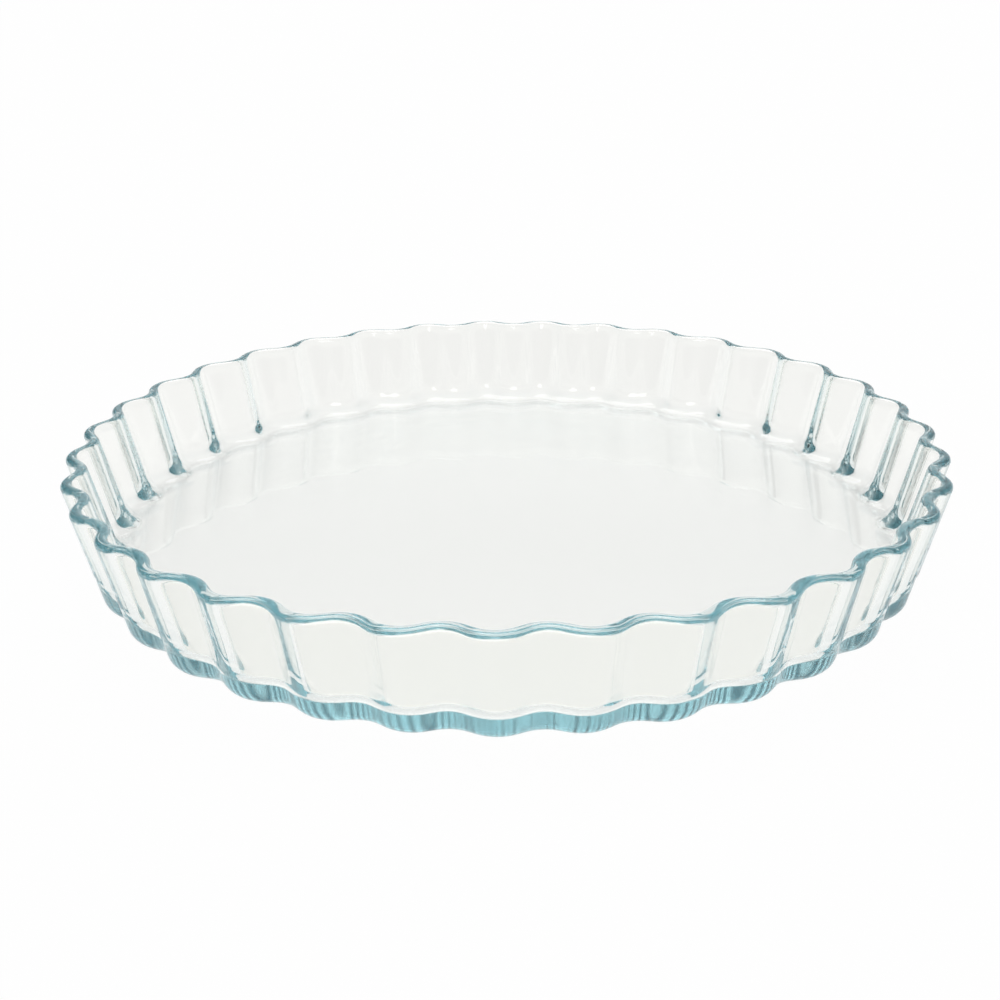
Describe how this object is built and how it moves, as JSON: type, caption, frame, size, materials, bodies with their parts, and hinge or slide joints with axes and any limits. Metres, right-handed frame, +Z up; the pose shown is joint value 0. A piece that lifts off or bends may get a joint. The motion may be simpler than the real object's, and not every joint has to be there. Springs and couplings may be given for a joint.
{
  "type": "baking dish",
  "caption": "Round shallow baking dish pressed in clear, faintly blue-green glass, with a fluted flaring wall, a rounded rim and a flat floor for flans, tarts and pies.",
  "frame": {"origin": "middle of the foot, on the plane of the resting ring that touches the table", "axes": "+Z up through the middle of the dish; -Y is the front, where the lobe of one flute faces the viewer; +X is to the viewer's right"},
  "size_m": [0.2796, 0.2794, 0.0351],
  "materials": {
    "glass": "smooth fire-polished pressed glass, clear with a faint blue-green tint that deepens along the rim and the foot"
  },
  "bodies": {
    "root": {"dish": "glass"}
  },
  "joints": []
}
